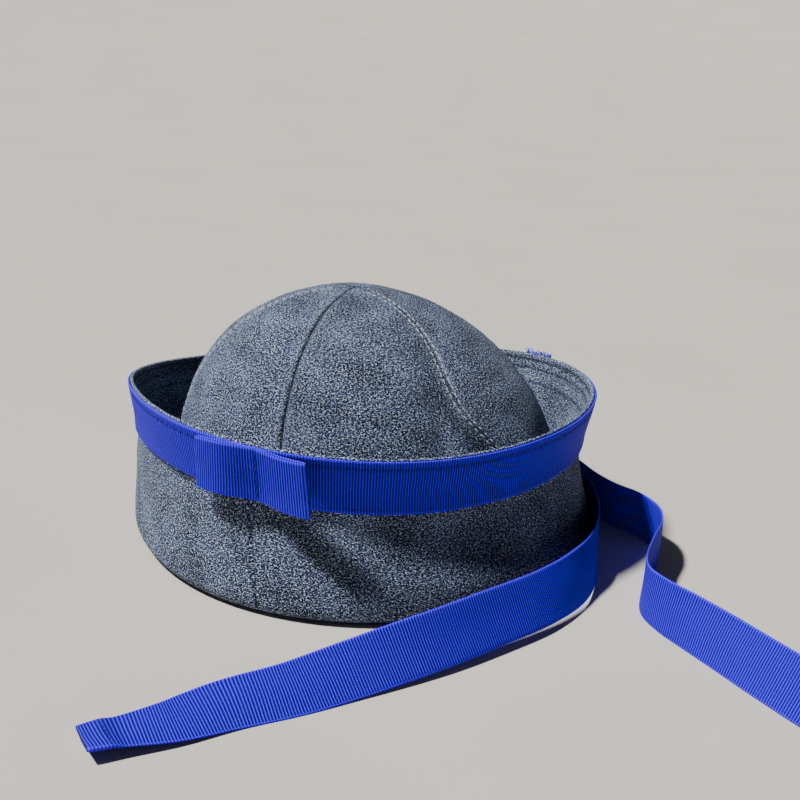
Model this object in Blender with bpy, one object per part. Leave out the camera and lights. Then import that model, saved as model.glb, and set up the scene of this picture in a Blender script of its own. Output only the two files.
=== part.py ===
"""Sailor cap of flecked cloth with its brim turned right up, a ribbon band, a flat bow tab
and two ribbon tails. Metres, +Z up. The origin is on the surface that the cap rests on, under
the middle of the brim's upper rim, and the front of the cap looks along -Y."""

from math import asin, cos, pi, radians, sin, sqrt, tan

import bmesh
import bpy
from mathutils import Vector

# Driving dimensions
CROWN_RADIUS = 0.0924  # outer face of the crown at its foot, for a 580 mm head
FOOT_WIDTH = 0.0173  # the brim's underside, from the crown's face to the outer wall
RIM_DRAWN_IN = 0.0027
FOOT_RADIUS = CROWN_RADIUS + FOOT_WIDTH  # outer face of the brim where it leaves the surface
RIM_RADIUS = FOOT_RADIUS - RIM_DRAWN_IN  # outer face of the brim at its upper rim
BRIM_HEIGHT = 0.0668  # from the surface to the rim, on average
BRIM_WALL = 0.0022  # two layers of cloth, quilted by rows of stitching
FOOT_SHIFT = 0.0050  # the foot sits this far to +X of the rim
FOOT_SET_FORWARD = 0.0016  # and this far towards the front
FOOT_BEND = 0.0060  # bend from the underside up into the outer wall
HEAD_BEND = 0.0035  # bend from the underside up to the head seam
HEAD_SEAM_HEIGHT = 0.0090  # where the crown is sewn to the brim

CROWN_HEIGHT = 0.1127  # top of the crown above the surface
CROWN_WALL = 0.0015
CROWN_ROUNDNESS = 2.545  # power of the crown's profile: 2 is an ellipse, more is fuller
CROWN_SHIFT_FOOT = 0.0113  # the crown's middle lies to +X at its foot
CROWN_SHIFT_TOP = 0.0005  # and almost over the rim's middle at its top
CROWN_SHIFT_BACK = 0.0015  # and this far towards the back
GORES = 6
APEX_HOLE = 0.0016  # radius left open where the gores' points meet
SEAM_ANGLE = radians(-115.5)  # front seam of the crown
SEAM_DIP = 0.0011  # how far each crown seam is drawn in
SEAM_SHARPNESS = 6  # power of that dip across a gore: higher is narrower
MOST_MARGIN = 0.9  # keeps a gore's two seam gaps from crossing at its point
BRIM_SEAM_ANGLE = radians(-111.5)  # front seam of the brim, under the bow tab

RIBBON_WIDTH = 0.0220
RIBBON_WALL = 0.0009
RIM_EDGE_SHOWN = 0.0015  # cloth left showing above the ribbon band
BAND_FLARE = radians(8)  # how far the band leans out towards the rim
BAND_LAYERS = 1.2  # the band, with its turned and stitched edges, against one ribbon layer

BOW_LEFT_LENGTH = 0.0250  # from the stitched middle of the tab to its left end
BOW_RIGHT_LENGTH = 0.0200
BOW_SPREAD = 0.09  # how much longer its lower edge is spread than its upper edge
BOW_SET_RIGHT = 0.0052  # middle of the tab, to the right of the brim's seam
BOW_FOLD_FULLNESS = 1.6  # how quickly the loop opens from its folded ends

HEM_LENGTH = 0.0090
HEM_LAYERS = 2.4  # thickness of a tail's turned end, in ribbon layers

GAP = 0.0003  # left between pieces that are sewn together

# Waves round the cap: order, cosine share, sine share
RIM_RADIUS_WAVES = ((2, 0.0085, -0.0262), (3, 0.0521, 0.0209))
FOOT_RADIUS_WAVES = ((2, -0.0200, -0.0232), (3, 0.0123, 0.0104))
RIM_HEIGHT_WAVES = ((1, 0.0070, -0.0868), (2, 0.0517, 0.0744))
CROWN_RADIUS_WAVES = ((2, 0.0010, -0.0310),)

# Brim wall: height share, share of the way from foot radius to rim radius,
# hollow of the waist as a share of the rim radius, share of the foot's shift
BRIM_ROWS = (
    (0.00, 0.00, 0.000, 1.00),
    (0.12, 0.08, 0.004, 0.90),
    (0.30, 0.30, 0.024, 0.48),
    (0.50, 0.60, 0.038, 0.10),
    (0.70, 0.85, 0.033, 0.00),
    (0.86, 0.96, 0.015, 0.00),
    (1.00, 1.00, 0.000, 0.00),
)

# Soft dents and swellings: angle, height share, half width in degrees, half height share,
# depth as a share of the radius, inwards when negative
CROWN_DENTS = (
    (-66.0, 0.66, 11.0, 0.17, -0.030),
    (-36.0, 0.42, 20.0, 0.28, 0.026),
    (-126.0, 0.50, 12.0, 0.12, -0.018),
    (-92.0, 0.80, 24.0, 0.12, 0.012),
    (150.0, 0.62, 20.0, 0.20, -0.022),
    (28.0, 0.70, 18.0, 0.20, -0.024),
    (88.0, 0.55, 16.0, 0.22, 0.014),
)
BRIM_DENTS = (
    (-138.0, 0.40, 13.0, 0.30, -0.012),
    (-92.0, 0.30, 12.0, 0.25, 0.008),
    (-60.0, 0.45, 14.0, 0.30, -0.010),
    (52.0, 0.50, 15.0, 0.30, -0.014),
    (108.0, 0.45, 14.0, 0.30, -0.016),
    (170.0, 0.45, 16.0, 0.30, 0.008),
)

# Bow tab: place along it, stand-off from the band, opening of its loop, how far it hangs below
# the band, and how much more its lower edge stands off, all as shares of the ribbon's width
BOW_ROWS = (
    (-1.00, 0.030, 0.030, 0.03, 0.02),
    (-0.55, 0.030, 0.045, -0.01, 0.06),
    (0.00, 0.000, 0.000, -0.02, 0.00),
    (0.50, 0.100, 0.055, 0.00, 0.05),
    (1.00, 0.300, 0.040, -0.03, 0.10),
)

# Ribbon tails: angle round the cap, distance from the brim as a share of the rim radius,
# lift of the lower edge as a share of the brim height, lean towards the cap from upright
LEFT_TAIL_ROWS = (
    (92.0, 0.000, 0.50, -8.0),
    (84.0, 0.003, 0.44, -6.0),
    (75.0, 0.008, 0.30, -2.0),
    (66.0, 0.010, 0.15, 0.0),
    (54.0, 0.010, 0.04, 0.0),
    (40.0, 0.010, 0.00, 0.0),
    (20.0, 0.010, 0.00, 0.0),
    (2.0, 0.012, 0.00, 0.0),
    (-12.0, 0.026, 0.00, 0.0),
    (-24.0, 0.065, 0.00, 3.0),
    (-35.0, 0.130, 0.01, 12.0),
    (-44.0, 0.185, 0.03, 24.0),
    (-54.0, 0.225, 0.045, 28.0),
    (-66.0, 0.270, 0.045, 31.0),
    (-78.0, 0.365, 0.03, 38.0),
    (-87.0, 0.470, 0.01, 50.0),
    (-94.2, 0.590, 0.00, 61.0),
    (-100.1, 0.705, 0.005, 69.0),
    (-105.0, 0.848, 0.025, 83.0),
    (-108.6, 0.953, 0.052, 95.0),
    (-111.3, 1.031, 0.068, 101.5),
)
RIGHT_TAIL_ROWS = (
    (58.0, -0.008, 0.56, -8.0),
    (51.0, 0.000, 0.51, -8.0),
    (43.0, 0.036, 0.38, -4.0),
    (35.0, 0.076, 0.18, 0.0),
    (25.0, 0.056, 0.05, 0.0),
    (14.0, 0.046, 0.00, 0.0),
    (5.0, 0.060, 0.00, 0.0),
    (-2.0, 0.115, 0.00, 0.0),
    (-7.0, 0.210, 0.00, 0.0),
    (-12.8, 0.280, 0.00, 0.0),
    (-19.5, 0.300, 0.00, -2.0),
    (-27.0, 0.295, 0.00, -3.0),
    (-34.3, 0.320, 0.00, -3.0),
    (-39.4, 0.380, 0.00, -4.0),
    (-42.4, 0.490, 0.00, -10.0),
    (-44.3, 0.620, 0.00, -18.0),
    (-46.0, 0.770, 0.00, -25.0),
    (-47.6, 0.940, 0.00, -30.0),
    (-49.0, 1.140, 0.00, -34.0),
    (-50.0, 1.360, 0.00, -44.0),
    (-50.6, 1.620, 0.00, -60.0),
    (-51.6, 1.880, 0.00, -80.0),
)

# Fineness of the faceting
BRIM_FACETS = 36  # round each half of the brim
WALL_FACETS = 8  # up the brim's outer wall
GORE_FACETS = 7
GORE_RINGS = 10
BAND_FACETS = 72
BOW_FACETS = 28
TAIL_STEP = 0.0068
HEM_STEP = TAIL_STEP / 8  # length of the slope where a tail thickens into its hem
ROUTE_SAMPLES = 40  # between two rows of a tail's table
CLEARANCE_SAMPLES = 40
SHARP_EDGE = radians(40)

UP = Vector((0.0, 0.0, 1.0))


def steps(start, end, count):
    return [start + (end - start) * i / count for i in range(count + 1)]


def smooth_row(rows, key):
    """Values of a table's row at a key between its rows, on one smooth curve."""
    keys = [row[0] for row in rows]
    last = len(rows) - 1
    low = max(0, min(last - 1, sum(1 for k in keys[1:-1] if (k - key) * (keys[-1] - keys[0]) <= 0)))
    span = keys[low + 1] - keys[low]
    t = (key - keys[low]) / span

    def slope(i, column):
        before, after = max(0, i - 1), min(last, i + 1)
        return (rows[after][column] - rows[before][column]) / (keys[after] - keys[before]) * span

    values = []
    for column in range(1, len(rows[0])):
        a, b = rows[low][column], rows[low + 1][column]
        bend_a, bend_b = slope(low, column), slope(low + 1, column)
        values.append(
            a * (1 - 3 * t * t + 2 * t**3)
            + b * (3 * t * t - 2 * t**3)
            + bend_a * (t - 2 * t * t + t**3)
            + bend_b * (t**3 - t * t)
        )
    return values


def wave(rows, angle):
    """Sum of a table's waves at an angle round the cap."""
    return sum(c * cos(order * angle) + s * sin(order * angle) for order, c, s in rows)


def dent(rows, angle, height_share):
    """Radius share that a table's dents and swellings add at one place."""
    total = 0.0
    for middle, level, half_width, half_height, depth in rows:
        across = (angle - radians(middle) + pi) % (2 * pi) - pi
        a = across / radians(half_width)
        b = (height_share - level) / half_height
        total += depth / (1 + a * a + b * b) ** 2
    return total


def radial(angle):
    return Vector((cos(angle), sin(angle), 0.0))


def crown_angle_to_height(slope_angle):
    return CROWN_HEIGHT * sin(slope_angle) ** (2 / CROWN_ROUNDNESS)


def height_to_crown_angle(height):
    return asin((height / CROWN_HEIGHT) ** (CROWN_ROUNDNESS / 2))


def crown_point(angle, slope_angle):
    """Outer face of the crown: round the cap, then from 0 at its foot to 90 degrees on top."""
    height = crown_angle_to_height(slope_angle)
    share = height / CROWN_HEIGHT
    radius = CROWN_RADIUS * cos(slope_angle) * (1 + wave(CROWN_RADIUS_WAVES, angle))
    radius *= 1 + dent(CROWN_DENTS, angle, share)
    radius -= SEAM_DIP * cos(slope_angle) * abs(cos((angle - SEAM_ANGLE) * GORES / 2)) ** SEAM_SHARPNESS
    shift = CROWN_SHIFT_FOOT + (CROWN_SHIFT_TOP - CROWN_SHIFT_FOOT) * share
    return radial(angle) * radius + Vector((shift, CROWN_SHIFT_BACK, height))


def rim_height(angle):
    return BRIM_HEIGHT * (1 + wave(RIM_HEIGHT_WAVES, angle))


def brim_wall_point(angle, share, proud=0.0):
    """Outer face of the brim's wall, from 0 at the foot's bend to 1 at the rim."""
    to_rim, hollow, shifted = smooth_row(BRIM_ROWS, share)
    foot = FOOT_RADIUS * (1 + wave(FOOT_RADIUS_WAVES, angle))
    rim = RIM_RADIUS * (1 + wave(RIM_RADIUS_WAVES, angle))
    radius = foot + (rim - foot) * to_rim - RIM_RADIUS * hollow
    radius += RIM_RADIUS * dent(BRIM_DENTS, angle, share) * sin(pi * share)
    low = FOOT_BEND + BRIM_WALL / 2
    height = low + (rim_height(angle) - low) * share
    shift = Vector((FOOT_SHIFT, -FOOT_SET_FORWARD, 0.0)) * shifted
    return radial(angle) * (radius + proud) + shift + UP * height


def brim_point(angle, v):
    """Middle of the brim's cloth: head seam 0, bend 1 to 2, underside to 3, bend to 4, rim 5."""
    half = BRIM_WALL / 2
    inner = crown_point(angle, height_to_crown_angle(HEAD_SEAM_HEIGHT))
    inner -= radial(angle) * CROWN_WALL / 2
    inner.z = 0.0
    outer = brim_wall_point(angle, 0.0, -half)
    outer.z = 0.0
    out = (outer - inner).normalized()
    if v <= 1:
        low = HEAD_BEND + half
        return inner + UP * (HEAD_SEAM_HEIGHT + (low - HEAD_SEAM_HEIGHT) * v)
    if v <= 2:
        turn = (v - 1) * pi / 2
        return inner + out * HEAD_BEND * (1 - cos(turn)) + UP * (half + HEAD_BEND * (1 - sin(turn)))
    start = inner + out * HEAD_BEND
    end = outer - out * FOOT_BEND
    if v <= 3:
        return start.lerp(end, v - 2) + UP * half
    if v <= 4:
        turn = (v - 3) * pi / 2
        return end + out * FOOT_BEND * sin(turn) + UP * (half + FOOT_BEND * (1 - cos(turn)))
    return brim_wall_point(angle, v - 4, -half)


def band_point(angle, share):
    """Middle of the ribbon band, from 0 at its lower edge to 1 at its upper edge."""
    low = FOOT_BEND + BRIM_WALL / 2
    wall = rim_height(angle) - low
    below_rim = RIM_EDGE_SHOWN + RIBBON_WIDTH * (1 - share)
    return brim_wall_point(angle, 1 - below_rim / wall, GAP + RIBBON_WALL * BAND_LAYERS / 2)


def clear_distance(angle, low, lean):
    """Distance from the cap's middle to the lower edge of a ribbon that just clears the brim and
    its band, for the height of that edge. A ribbon sewn to the band follows the band's flare."""
    flare = tan(min(0.0, max(lean, -BAND_FLARE)))
    farthest = 0.0
    for share in steps(0.0, 1.0, CLEARANCE_SAMPLES):
        face = brim_wall_point(angle, share)
        rise = face.z - low
        if rise > RIBBON_WIDTH:
            break
        from_rim = rim_height(angle) - face.z
        under_band = RIM_EDGE_SHOWN < from_rim < RIM_EDGE_SHOWN + RIBBON_WIDTH
        covered = GAP + RIBBON_WALL * BAND_LAYERS if under_band else 0.0
        if rise > -FOOT_BEND:
            farthest = max(farthest, face.xy.length + covered + rise * flare)
    return farthest


def finish(name, colour, roughness):
    """A plain dyed cloth."""
    material = bpy.data.materials.new(name)
    material.use_nodes = True
    shader = material.node_tree.nodes["Principled BSDF"]
    shader.inputs["Base Color"].default_value = (*colour, 1.0)
    shader.inputs["Roughness"].default_value = roughness
    shader.inputs["Metallic"].default_value = 0.0
    return material


def solid(name, points, faces, material):
    """One closed solid with its faces pointing out."""
    mesh = bpy.data.meshes.new(name)
    work = bmesh.new()
    corners = [work.verts.new(point) for point in points]
    for face in faces:
        work.faces.new([corners[i] for i in face])
    bmesh.ops.recalc_face_normals(work, faces=work.faces)
    work.to_mesh(mesh)
    work.free()
    mesh.materials.append(material)
    mesh.shade_smooth()
    mesh.set_sharp_from_angle(angle=SHARP_EDGE)
    piece = bpy.data.objects.new(name, mesh)
    bpy.context.scene.collection.objects.link(piece)
    return piece


def cloth_panel(name, surface, across, along, outside, inside, material, ring=False):
    """Cloth of even thickness on surface(u, v), with its four edges closed, or a whole ring."""
    step = 1e-4
    sheets = ([], [])
    for v in along:
        for u in across:
            low, high = max(along[0], v - step), min(along[-1], v + step)
            rise = surface(u, high) - surface(u, low)
            run = surface(u + step, v) - surface(u - step, v)
            normal = run.cross(rise).normalized()
            place = surface(u, v)
            sheets[0].append(place + normal * outside)
            sheets[1].append(place - normal * inside)
    columns, rows = len(across), len(along)
    back = columns * rows
    faces = []
    spans = columns if ring else columns - 1
    for r in range(rows - 1):
        for c in range(spans):
            d = (c + 1) % columns
            a, b = r * columns + c, r * columns + d
            e, f = a + columns, b + columns
            faces += [(a, b, f, e), (back + a, back + e, back + f, back + b)]
    for c in range(spans):
        d = (c + 1) % columns
        top = (rows - 1) * columns
        faces += [(c, back + c, back + d, d), (top + c, top + d, back + top + d, back + top + c)]
    if not ring:
        for r in range(rows - 1):
            for side in (0, columns - 1):
                a, b = r * columns + side, (r + 1) * columns + side
                faces.append((a, b, back + b, back + a))
    return solid(name, sheets[0] + sheets[1], faces, material)


def make_gore(index, cloth):
    """One of the crown's pointed panels, between two of its seams."""
    first = SEAM_ANGLE + index * 2 * pi / GORES

    def surface(share, slope_angle):
        angle = first + share * 2 * pi / GORES
        radius = CROWN_RADIUS * cos(slope_angle)
        margin = asin(min(MOST_MARGIN, GAP / 2 / radius))
        angle += margin * (1 - 2 * share)
        return crown_point(angle, slope_angle)

    foot = height_to_crown_angle(HEAD_SEAM_HEIGHT + GAP)
    top = pi / 2 - asin(APEX_HOLE / CROWN_RADIUS)
    rings = [foot + (top - foot) * share for share in steps(0.0, 1.0, GORE_RINGS)]
    across = steps(0.0, 1.0, GORE_FACETS)
    cloth_panel(f"crown_gore_{index + 1}", surface, across, rings, 0.0, CROWN_WALL, cloth)


def make_brim_half(name, start, cloth):
    """Half of the turned-up brim, from the head seam round the fold to the rim."""
    margin = GAP / 2 / RIM_RADIUS
    across = steps(start + margin, start + pi - margin, BRIM_FACETS)
    along = [0.0] + steps(1.0, 2.0, 3) + steps(2.0, 3.0, 3)[1:] + steps(3.0, 4.0, 3)[1:]
    along += steps(4.0, 5.0, WALL_FACETS)[1:]
    cloth_panel(name, brim_point, across, along, BRIM_WALL / 2, BRIM_WALL / 2, cloth)


def make_band(ribbon):
    """The ribbon sewn round the outside of the brim just under its rim."""
    across = [2 * pi * i / BAND_FACETS for i in range(BAND_FACETS)]
    half = RIBBON_WALL * BAND_LAYERS / 2
    cloth_panel("ribbon_band", band_point, across, steps(0.0, 1.0, 3), half, half, ribbon, ring=True)


def make_bow_tab(ribbon):
    """A flat loop of ribbon, stitched down at its middle, its right end standing off the band."""
    middle = BRIM_SEAM_ANGLE + BOW_SET_RIGHT / RIM_RADIUS
    nearest = RIBBON_WALL * BAND_LAYERS / 2 + GAP + RIBBON_WALL + GAP / 2

    def surface(turn, rise):
        share = cos(turn)
        stand_off, opening, drop, flare = smooth_row(BOW_ROWS, share)
        half_gap = RIBBON_WALL / 2 + GAP / 2 + RIBBON_WIDTH * opening / 2
        clear = nearest + RIBBON_WIDTH * (stand_off + opening / 2 + flare * (1 - rise))
        bulge = half_gap * min(1.0, BOW_FOLD_FULLNESS * sqrt(abs(sin(turn))))
        bulge *= 1 if sin(turn) < 0 else -1
        length = BOW_RIGHT_LENGTH if share > 0 else BOW_LEFT_LENGTH
        length *= 1 + BOW_SPREAD * (1 - rise)
        angle = middle + share * length / RIM_RADIUS
        seat = band_point(angle, 1 - drop - (1 - rise) * sqrt(1 - flare * flare))
        return seat + radial(angle) * (clear + bulge)

    turns = [2 * pi * (i + 0.5) / BOW_FACETS for i in range(BOW_FACETS)]
    half = RIBBON_WALL / 2
    cloth_panel("bow_tab", surface, turns, [0.0, 1.0], half, half, ribbon, ring=True)


def tail_route(rows):
    """A tail's rows worked out against the brim: number, angle, distance, height and lean."""
    route = []
    for number, (degrees_round, beyond, lift, lean_degrees) in enumerate(rows):
        angle, lean = radians(degrees_round), radians(lean_degrees)
        low = BRIM_HEIGHT * lift + RIBBON_WALL / 2 * abs(sin(lean))
        clear = clear_distance(angle, low, lean) + GAP + RIBBON_WALL / 2
        route.append((number, angle, clear + RIM_RADIUS * beyond, low, lean))
    return route


def tail_station(route, key):
    """Middle of a tail's lower edge and its lean, at a row number."""
    angle, distance, low, lean = smooth_row(route, key)
    edge = radial(angle) * distance
    edge.z = max(low, RIBBON_WALL / 2 * abs(sin(lean)))
    return edge, lean


def make_tail(name, rows, ribbon):
    """A loose ribbon tail: sewn to the band at the back, down to the surface and along it."""
    fine = [i / ROUTE_SAMPLES for i in range(ROUTE_SAMPLES * (len(rows) - 1) + 1)]
    route = tail_route(rows)
    edges = [tail_station(route, key) for key in fine]
    lengths = [0.0]
    for (a, _), (b, _) in zip(edges, edges[1:]):
        lengths.append(lengths[-1] + (b - a).length)
    total = lengths[-1]
    places = steps(0.0, total - HEM_LENGTH, round((total - HEM_LENGTH) / TAIL_STEP))
    places += [total - HEM_LENGTH + HEM_STEP, total]
    upper_side = 1 if rows[-1][3] > 0 else -1
    points = []
    for place in places:
        i = min(len(fine) - 2, max(1, sum(1 for length in lengths if length < place)))
        edge, lean = edges[i]
        run = (edges[i + 1][0] - edges[i - 1][0]).normalized()
        to_cap = run.cross(UP).normalized()
        width = to_cap.cross(run) * cos(lean) + to_cap * sin(lean)
        layers = HEM_LAYERS if place > total - HEM_LENGTH else 1.0
        thick = width.cross(run).normalized() * RIBBON_WALL * upper_side
        bottom = edge - thick / 2
        points += [bottom, bottom + width * RIBBON_WIDTH]
        points += [bottom + width * RIBBON_WIDTH + thick * layers, bottom + thick * layers]
    count = len(places)
    faces = [(0, 1, 2, 3), tuple(4 * (count - 1) + k for k in (3, 2, 1, 0))]
    for s in range(count - 1):
        for k in range(4):
            a, b = 4 * s + k, 4 * s + (k + 1) % 4
            faces.append((a, a + 4, b + 4, b))
    solid(name, points, faces, ribbon)


def main():
    for old in list(bpy.data.objects):
        bpy.data.objects.remove(old, do_unlink=True)
    cloth = finish("flecked_cloth", (0.045, 0.055, 0.085), 0.85)
    ribbon = finish("blue_ribbon", (0.008, 0.035, 0.50), 0.55)
    for index in range(GORES):
        make_gore(index, cloth)
    make_brim_half("brim_right", BRIM_SEAM_ANGLE, cloth)
    make_brim_half("brim_left", BRIM_SEAM_ANGLE + pi, cloth)
    make_band(ribbon)
    make_bow_tab(ribbon)
    make_tail("ribbon_tail_left", LEFT_TAIL_ROWS, ribbon)
    make_tail("ribbon_tail_right", RIGHT_TAIL_ROWS, ribbon)


main()
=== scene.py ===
"""Sailor cap of flecked cloth with its brim turned up, a ribbon band, a flat bow tab and two
ribbon tails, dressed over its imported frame. Metres, +Z up, the cap's front towards -Y."""

from math import asin, cos, pi, radians, sin, tan

import bmesh
import bpy
import numpy as np
from mathutils import Matrix, Vector, noise


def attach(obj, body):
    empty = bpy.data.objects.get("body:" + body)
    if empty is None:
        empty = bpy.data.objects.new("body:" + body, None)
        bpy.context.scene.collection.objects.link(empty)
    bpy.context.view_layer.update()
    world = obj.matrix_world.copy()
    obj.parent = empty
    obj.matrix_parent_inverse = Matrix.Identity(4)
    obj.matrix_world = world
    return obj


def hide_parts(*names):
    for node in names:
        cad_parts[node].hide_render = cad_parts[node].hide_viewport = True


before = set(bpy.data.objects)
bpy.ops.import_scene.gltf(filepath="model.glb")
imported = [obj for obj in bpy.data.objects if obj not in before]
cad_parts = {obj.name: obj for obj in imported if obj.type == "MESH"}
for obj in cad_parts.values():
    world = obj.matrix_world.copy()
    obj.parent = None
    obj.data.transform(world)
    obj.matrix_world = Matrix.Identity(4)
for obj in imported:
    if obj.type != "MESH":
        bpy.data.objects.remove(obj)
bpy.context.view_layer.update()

bl_info = {
    "name": "Sailor cap",
    "version": (1, 0, 0),
    "blender": (4, 5, 0),
    "location": "3D View > Sidebar > Sailor cap",
    "description": "Makes a flecked cloth sailor cap with its ribbon, and a plain stage for it",
    "category": "Object",
}

# Shapes that the frame was made with. Lengths are in metres.
BRIM_WALL = 0.0022
FOOT_SHIFT = np.array((0.0050, -0.0016, 0.0))
FOOT_BEND = 0.0060
HEAD_BEND = 0.0035
HEAD_SEAM_HEIGHT = 0.0090
CROWN_WALL = 0.0015
CROWN_ROUNDNESS = 2.545
CROWN_SHIFT_FOOT = 0.0113
CROWN_SHIFT_TOP = 0.0005
CROWN_SHIFT_BACK = 0.0015
GORES = 6
APEX_HOLE = 0.0009
SEAM_ANGLE = radians(-115.5)
SEAM_DIP = 0.0011
BRIM_SEAM_ANGLE = radians(-111.5)
RIBBON_WALL = 0.0009
BOW_SPREAD = 0.09
RIM_EDGE_SHOWN = 0.0015
BAND_FLARE = radians(8)
BAND_LAYERS = 1.2
BOW_SET_RIGHT = 0.0052
HEM_LAYERS = 2.4
GAP = 0.0003

# Shapes that only this dressing has
RIBBON_SHOWN = 0.0006
EDGE_BULGE = 0.8
HEM_LENGTH = 0.0105
HEM_RAMP = 0.0045
HEM_STITCH_PLACE = 0.78
TAIL_STEP = 0.0016
GORE_WIDTH = 0.097
SEAM_SHARPNESS = 6
SEAM_END = 0.012
SEAM_GROOVE = 0.0007
SEAM_GROOVE_WIDTH = 0.00055
SEAM_FOLD = 0.00045
SEAM_FOLD_PLACE = 0.0024
SEAM_FOLD_WIDTH = 0.0017
PUCKER = 0.00013
PUCKER_WIDTH = 0.0055
TOPSTITCH_OFFSET = 0.0012
RIM_THINNING = 0.0007
RIM_THINNING_LENGTH = 0.010
QUILT_DEPTH = 0.00045
QUILT_WIDTH = 0.0006
BAND_PLEAT_PLACE = 0.0030
FRAY_ANGLE = radians(28.5)
FRAY_THREADS = 52
FRAY_SPREAD = 4.5
FRAY_SIZE = 0.00024
FRAY_SIDES = 4

# Pitch of the cloth's and the ribbon's threads, and where the ribbon's woven edge ends
WARP_PITCH = 0.00062
WEFT_PITCH = 0.00058
THREAD_PITCH = 0.00055
SELVEDGE_INNER = 0.0003
SELVEDGE_OUTER = 0.0008

# A stitch: places along it, then its half width and its rise there as shares of its thickness
STITCH_PLACES = np.array((0.0, 0.12, 0.5, 0.88, 1.0))
STITCH_WIDTHS = np.array((0.15, 0.42, 0.5, 0.42, 0.15))
STITCH_RISES = np.array((-0.45, 0.05, 0.25, 0.05, -0.45))
STITCH_SIDES = 6
STITCH_FLATNESS = 0.8

# Kinds of stitches: thread, finish slot, length unless it is the user's, gap, thickness
STITCHES = {
    "crown": ("pale_thread", "flecked_cloth", None, 0.0010, 0.00046),
    "brim": ("navy_thread", "flecked_cloth", None, 0.0008, 0.00050),
    "band": ("blue_thread", "blue_ribbon", None, 0.0009, 0.00042),
    "bow": ("blue_thread", "blue_ribbon", 0.0022, 0.0008, 0.00050),
    "hem": ("blue_thread", "blue_ribbon", 0.0022, 0.0008, 0.00045),
}

# Stage: the floor's radius and height ring by ring, a soft sun from high on the left, a weak
# fill, the room and the camera
FLOOR_PROFILE = (
    (0.6, 0.0), (1.8, 0.0), (2.6, 0.02), (3.5, 0.08), (5.0, 0.27), (7.0, 0.68), (9.0, 1.25),
)
FLOOR_SIDES = 96
SUN_WAY = (0.51, 0.07, -0.857)
SUN_POWER = 7.8
SUN_COLOUR = (1.0, 0.985, 0.96)
FILL_PLACE = (0.6, -1.1, 0.9)
FILL_SIZE = 1.4
FILL_POWER = 0.2
FILL_COLOUR = (0.90, 0.94, 1.0)
FILL_AIM = (0.02, -0.02, 0.04)
ROOM_COLOUR = (0.84, 0.90, 1.0, 1.0)
ROOM_STRENGTH = 0.05
CAMERA_PLACE = (0.0, -0.5394, 0.2234)
CAMERA_RIGHT = (0.99891, -0.03243, 0.03349)
CAMERA_UP = (-0.02261, 0.29129, 0.95637)
CAMERA_AHEAD = (0.04077, 0.95608, -0.29024)

# Waves round the cap: order, cosine share, sine share
RIM_RADIUS_WAVES = ((2, 0.0085, -0.0262), (3, 0.0521, 0.0209))
FOOT_RADIUS_WAVES = ((2, -0.0200, -0.0232), (3, 0.0123, 0.0104))
RIM_HEIGHT_WAVES = ((1, 0.0070, -0.0868), (2, 0.0517, 0.0744))
CROWN_RADIUS_WAVES = ((2, 0.0010, -0.0310),)

# Brim wall: height share, share of the way from foot to rim, hollow, share of the foot's shift
BRIM_ROWS = (
    (0.00, 0.00, 0.000, 1.00),
    (0.12, 0.08, 0.004, 0.90),
    (0.30, 0.30, 0.024, 0.48),
    (0.50, 0.60, 0.038, 0.10),
    (0.70, 0.85, 0.033, 0.00),
    (0.86, 0.96, 0.015, 0.00),
    (1.00, 1.00, 0.000, 0.00),
)

# Dents and swellings: angle, height share, half width, half height share, depth share
CROWN_DENTS = (
    (-66.0, 0.66, 11.0, 0.17, -0.030),
    (-36.0, 0.42, 20.0, 0.28, 0.026),
    (-126.0, 0.50, 12.0, 0.12, -0.018),
    (-92.0, 0.80, 24.0, 0.12, 0.012),
    (150.0, 0.62, 20.0, 0.20, -0.022),
    (28.0, 0.70, 18.0, 0.20, -0.024),
    (88.0, 0.55, 16.0, 0.22, 0.014),
)
# Sharper folds of the crown, in the same columns, and the painted shade in their hollows with the
# strength of that painted shade
CROWN_FOLDS = (
    (-64.0, 0.60, 5.0, 0.26, -0.050),
    (-57.5, 0.58, 4.5, 0.22, 0.012),
    (-99.0, 0.52, 6.0, 0.16, -0.010),
)
CROWN_SHADES = (
    (-60.2, 0.65, 4.8, 0.25, 0.78),
    (-99.0, 0.52, 6.0, 0.16, 0.12),
)
BRIM_DENTS = (
    (-138.0, 0.40, 13.0, 0.30, -0.012),
    (-92.0, 0.30, 12.0, 0.25, 0.008),
    (-60.0, 0.45, 14.0, 0.30, -0.010),
    (52.0, 0.50, 15.0, 0.30, -0.014),
    (108.0, 0.45, 14.0, 0.30, -0.016),
    (170.0, 0.45, 16.0, 0.30, 0.008),
)

# Bow tab: place along it, then as shares of the ribbon's width its stand-off, the opening of
# its loop, its drop below the band and the further stand-off of its lower edge
BOW_ROWS = (
    (-1.00, 0.030, 0.030, 0.03, 0.02),
    (-0.55, 0.030, 0.045, -0.01, 0.06),
    (0.00, 0.000, 0.000, -0.02, 0.00),
    (0.50, 0.100, 0.055, 0.00, 0.05),
    (1.00, 0.300, 0.040, -0.03, 0.10),
)

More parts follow.
